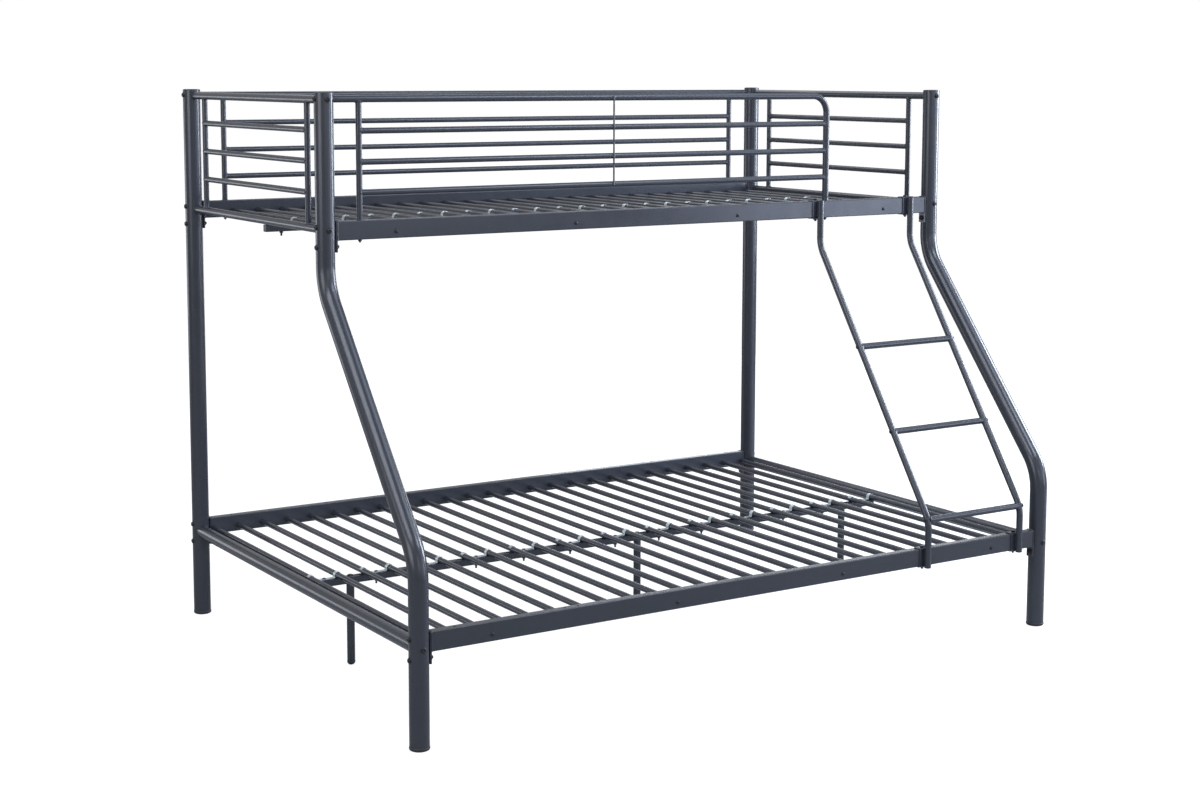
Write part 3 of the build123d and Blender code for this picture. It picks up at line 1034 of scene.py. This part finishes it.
def clamp_shape(bm, x, bed):
    """A bent plate round the front of a rail, with the welds that hold it to the stringer."""
    rail_face = front_y[bed] - rail_width / 2
    plate_y = rail_face - clamp_plate / 2
    lip = rail_face - clamp_plate + clamp_lip
    high = rail_top[bed] + clamp_plate / 2
    low = rail_top[bed] - rail_height - clamp_plate / 2
    corners = ((x, lip, high), (x, plate_y, high), (x, plate_y, low), (x, lip, low))
    edge = 0.5
    w, t = clamp_width / 2, clamp_plate / 2
    section = [(w, t - edge), (w - edge, t), (edge - w, t), (-w, t - edge)]
    section += [(-a, -b) for a, b in section]
    sweep(bm, rounded(corners, clamp_bend, 6), section, X_AXIS)
    weld_y = rail_face - clamp_plate - 0.3
    weld_top = high - 5
    if bed == "upper":
        weld_top = min(weld_top, stringer_top - 6)
    for hand in (-1, 1):
        seam_weld(bm, x + hand * stringer_r * 0.42, weld_y, low + 6, weld_top)


def make_ladder():
    """Bent stringers with their clamps, three rungs, and caps in the stringers' ends."""
    low_y, high_y = stringer_y["lower"], stringer_y["upper"]
    low_corner, high_corner = stringer_corner["lower"], stringer_corner["upper"]
    end_z = stringer_top - stringer_cap
    for side, x in stringer_x.items():
        def shape(bm):
            corners = (
                (x, low_y, stringer_foot),
                (x, low_y, low_corner),
                (x, high_y, high_corner),
                (x, high_y, end_z),
            )
            line = rounded(corners, stringer_bend_radius, 16)
            sweep(bm, line, circle(stringer_r, TUBE_SIDES), X_AXIS)
            for bed in BEDS:
                clamp_shape(bm, x, bed)

        built(f"ladder_rail_{side}", "steel", shape, [f"ladder_stringer_{side}"], angle=42)

    rim = stringer_r - 0.1
    cap_profile = [(rim, -0.5), (rim, 0.4), (rim - 0.5, 0.9), (rim - 2.5, 1.4), (1, 1.5)]

    def caps(bm):
        for x in stringer_x.values():
            turned(bm, (x, low_y, stringer_foot), -Z_AXIS, cap_profile, TUBE_SIDES)
            turned(bm, (x, high_y, end_z), Z_AXIS, cap_profile, TUBE_SIDES)

    built("ladder_plugs", "cap", caps, ["ladder_end_caps"])

    slope = Vector((0, high_y - low_y, high_corner - low_corner)).normalized()
    bend = (slope + Z_AXIS).normalized()
    left, right = stringer_x["left"], stringer_x["right"]
    for order, (y, z) in enumerate(rung_spots, start=1):
        host = bend if order == len(rung_spots) else slope

        def shape(bm):
            rod(bm, (left + rung_setback, y, z), (right - rung_setback, y, z), rung_r, TUBE_SIDES)
            weld(bm, (left, y, z), X_AXIS, host, rung_r - 0.2, stringer_r, rung_weld)
            weld(bm, (right, y, z), -X_AXIS, host, rung_r - 0.2, stringer_r, rung_weld)

        built(f"ladder_step_{order}", "steel", shape, [f"ladder_rung_{order}"])


# Fasteners


def make_bolts():
    """Domed heads on the posts, rails and rungs."""
    def rail_heads(bm):
        for end in (-1, 1):
            for bed in BEDS:
                for y in (back_y, front_y[bed]):
                    for drop in rail_bolt_drops:
                        at = (end * (half_length + post_r), y, rail_top[bed] - drop)
                        bolt_head(bm, at, X_AXIS * end, post_bolt, Z_AXIS)

    def guard_heads(bm):
        for end, y in ((-1, back_y), (-1, front_y["upper"]), (1, back_y)):
            bolt_head(bm, (end * (half_length + post_r), y, guard_z), X_AXIS * end, post_bolt, Z_AXIS)

    def end_heads(bm):
        for x in post_x.values():
            for z in (lower_end_z, *panel_z.values()):
                bolt_head(bm, (x, back_y + post_r, z), Y_AXIS, post_bolt, Z_AXIS)
            bolt_head(bm, (x, front_y["lower"] - post_r, lower_end_z), -Y_AXIS, post_bolt, Z_AXIS)
            for z in panel_z.values():
                bolt_head(bm, (x, front_y["upper"] - post_r, z), -Y_AXIS, post_bolt, Z_AXIS)

    def slat_heads(bm):
        for bed in BEDS:
            for n in tie_slat_numbers:
                x, z = slat_x(n), slat_z(bed)
                bolt_head(bm, (x, back_y + rail_width / 2, z), Y_AXIS, slat_bolt)
                bolt_head(bm, (x, front_y[bed] - rail_width / 2, z), -Y_AXIS, slat_bolt)

    def rung_heads(bm):
        for end, x in zip((-1, 1), stringer_x.values()):
            for y, z in rung_spots:
                bolt_head(bm, (x + end * stringer_r, y, z), X_AXIS * end, rung_bolt)

    built("rail_bolt_heads", "bolt", rail_heads, ["rail_bolts"])
    built("guard_bolt_heads", "bolt", guard_heads, ["guard_bolts"])
    built("end_bolt_heads", "bolt", end_heads, ["end_bolts"])
    built("slat_bolt_heads", "bolt", slat_heads, ["slat_bolts"])
    built("rung_bolt_heads", "bolt", rung_heads, ["rung_bolts"])


def make_nuts():
    """Hexagon nuts and heads with their washers."""
    def rail_hex(bm):
        for end in (-1, 1):
            for bed in BEDS:
                z = rail_top[bed] - rail_bolt_drops[1]
                for y in (back_y, front_y[bed]):
                    hex_nut(bm, (end * plate_face, y, z), X_AXIS * -end, rail_nut, tail=rail_nut_tail)

    def guard_hex(bm):
        z = rail_top["upper"] - rail_height
        for x, y in (
            (-guard_upright_x, back_y),
            (guard_upright_x, back_y),
            (-guard_upright_x, front_y["upper"]),
            (guard_leg_x, front_y["upper"]),
        ):
            hex_nut(bm, (x, y, z), -Z_AXIS, guard_nut, tail=guard_nut_tail)

    def clamp_hex(bm):
        for bed in BEDS:
            y, high = front_y[bed], rail_top[bed] + clamp_plate
            low = rail_top[bed] - rail_height - clamp_plate
            for x in stringer_x.values():
                hex_nut(bm, (x, y, high), Z_AXIS, clamp_bolt, washer=False)
                hex_nut(bm, (x, y, low), -Z_AXIS, clamp_bolt, washer=False, tail=clamp_bolt_tail)

    built("rail_hex_nuts", "bolt", rail_hex, ["rail_nuts"])
    built("guard_hex_nuts", "bolt", guard_hex, ["guard_nuts"])
    built("clamp_hex_bolts", "bolt", clamp_hex, ["clamp_bolts"])


make_posts()
make_post_caps()
for bed in BEDS:
    for place in ("back", "front"):
        make_rail(bed, place)
    make_slats(bed)
    make_beam(bed)
    make_clips(bed)
make_legs()
make_lower_ends()
make_upper_ends()
make_guards()
make_ladder()
make_bolts()
make_nuts()


# Floor, light and camera, in metres


def ray_level(tree, camera, mirror, other):
    """A level for rays from the camera, one for those off metal or through glass, and one for the rest."""
    def maths(operation, *values):
        node = tree.nodes.new("ShaderNodeMath")
        node.operation = operation
        for socket, value in zip(node.inputs, values):
            if isinstance(value, (int, float)):
                socket.default_value = value
            else:
                tree.links.new(value, socket)
        return node.outputs["Value"]

    path = tree.nodes.new("ShaderNodeLightPath")
    seen = maths("MULTIPLY_ADD", path.outputs["Is Camera Ray"], camera - other, other)
    shiny = maths("MAXIMUM", path.outputs["Is Glossy Ray"], path.outputs["Is Transmission Ray"])
    return maths("MULTIPLY_ADD", shiny, mirror - other, seen)


def make_floor():
    """A plain pale floor that shows as white and keeps the bed's soft shadow."""
    half_size, drop, grey, near_share = 40, 0.0005, 0.4, 0.84
    bm = bmesh.new()
    bmesh.ops.create_grid(bm, x_segments=1, y_segments=1, size=half_size)
    mesh = bpy.data.meshes.new("floor")
    bm.to_mesh(mesh)
    bm.free()
    floor = linked("floor", mesh)
    floor.location = (0, 0, -drop)
    material = bpy.data.materials.new("pale_floor")
    tree, shader, add = nodes_of(material)
    shader.inputs["Base Color"].default_value = (grey, grey, grey, 1)
    shader.inputs["Roughness"].default_value = 0.9
    shader.inputs["Specular IOR Level"].default_value = 0.0
    shader.inputs["Emission Color"].default_value = (1, 1, 1, 1)
    away = add("ShaderNodeVectorMath", operation="LENGTH")
    tree.links.new(add("ShaderNodeTexCoord").outputs["Object"], away.inputs[0])
    rise = mapped(tree, add, away.outputs["Value"], near_share, 1.0, start=1.6, end=4.5)
    level = add("ShaderNodeMath", operation="MULTIPLY")
    tree.links.new(ray_level(tree, camera=1.0, mirror=0.17, other=0.0), level.inputs[0])
    tree.links.new(rise, level.inputs[1])
    tree.links.new(level.outputs["Value"], shader.inputs["Emission Strength"])
    mesh.materials.append(material)


def make_world():
    """A white surrounding for the camera, a grey one in reflections, and a faint light on the object."""
    world = bpy.data.worlds.new("studio")
    bpy.context.scene.world = world
    world.use_nodes = True
    tree = world.node_tree
    light = tree.nodes["Background"]
    light.inputs["Color"].default_value = (1, 1, 1, 1)
    tree.links.new(ray_level(tree, camera=1.0, mirror=0.5, other=0.1), light.inputs["Strength"])


def softbox(name, at, size, glow, tint):
    """A rectangular lamp turned to the middle of the bed, whose face has a given radiance."""
    bed_middle = Vector((0, 0, 1.0))
    width, height = size
    data = bpy.data.lights.new(name, "AREA")
    data.shape = "RECTANGLE"
    data.size = width
    data.size_y = height
    data.energy = glow * math.pi * width * height
    data.color = tint
    lamp = linked(name, data)
    lamp.location = at
    lamp.visible_camera = False
    lamp.rotation_mode = "QUATERNION"
    lamp.rotation_quaternion = (bed_middle - Vector(at)).to_track_quat("-Z", "Y")


def make_lamps():
    """Soft lamps: four overhead, three at the right that draw the posts' edges, and fainter others."""
    softbox("overhead_left", at=(-2.9, -1.9, 4.6), size=(3.0, 2.4), glow=5.2, tint=(0.82, 0.88, 1.0))
    softbox("overhead_front", at=(1.3, -2.7, 3.3), size=(1.4, 1.0), glow=10.0, tint=(0.72, 0.82, 1.0))
    softbox("overhead_right", at=(2.6, -1.6, 4.6), size=(2.6, 2.0), glow=2.6, tint=(0.66, 0.79, 1.0))
    softbox("overhead_back", at=(0.4, 3.8, 4.4), size=(3.4, 1.6), glow=2.4, tint=(0.86, 0.91, 1.0))
    softbox("right", at=(3.9, -0.9, 1.9), size=(1.2, 2.0), glow=22.0, tint=(0.76, 0.85, 1.0))
    softbox("right_near", at=(2.8, -3.3, 2.0), size=(1.4, 1.4), glow=2.0, tint=(0.70, 0.80, 1.0))
    softbox("right_low", at=(4.6, -4.6, 1.0), size=(1.8, 1.6), glow=5.3, tint=(0.72, 0.80, 1.0))
    softbox("front", at=(1.6, -5.8, 1.5), size=(2.2, 1.6), glow=1.2, tint=(0.86, 0.90, 1.0))
    softbox("front_left", at=(-1.2, -6.4, 2.4), size=(2.2, 1.8), glow=1.7, tint=(1.0, 0.95, 0.92))
    softbox("left", at=(-5.6, -1.5, 2.0), size=(3.0, 2.0), glow=3.4, tint=(0.94, 0.96, 1.0))
    softbox("back_left", at=(-3.4, 4.4, 0.8), size=(2.6, 1.2), glow=2.6, tint=(0.86, 0.91, 1.0))
    softbox("back_right", at=(3.8, 4.2, 0.8), size=(2.6, 1.2), glow=3.0, tint=(0.86, 0.91, 1.0))


def make_camera():
    """The camera that was fitted to the photograph, with its turns in radians."""
    yaw, pitch, roll = 0.56646, 0.11561, 0.0024
    place = Vector((-3.11052, -4.80176, 1.62202))
    data = bpy.data.cameras.new("photo_camera")
    data.sensor_width = 36
    data.lens = 58.94
    data.shift_y = -0.0833
    data.clip_end = 200
    ahead = Vector((math.sin(yaw), math.cos(yaw), 0))
    forward = ahead * math.cos(pitch) - Z_AXIS * math.sin(pitch)
    right = ahead.cross(Z_AXIS)
    up = right.cross(forward)
    tilted_right = right * math.cos(roll) + up * math.sin(roll)
    tilted_up = up * math.cos(roll) - right * math.sin(roll)
    turn = Matrix((tilted_right, tilted_up, -forward)).transposed().to_4x4()
    camera = linked("photo_camera", data)
    camera.matrix_world = Matrix.Translation(place) @ turn
    bpy.context.scene.camera = camera


make_floor()
make_world()
make_lamps()
make_camera()
bpy.context.scene.view_settings.view_transform = "Standard"
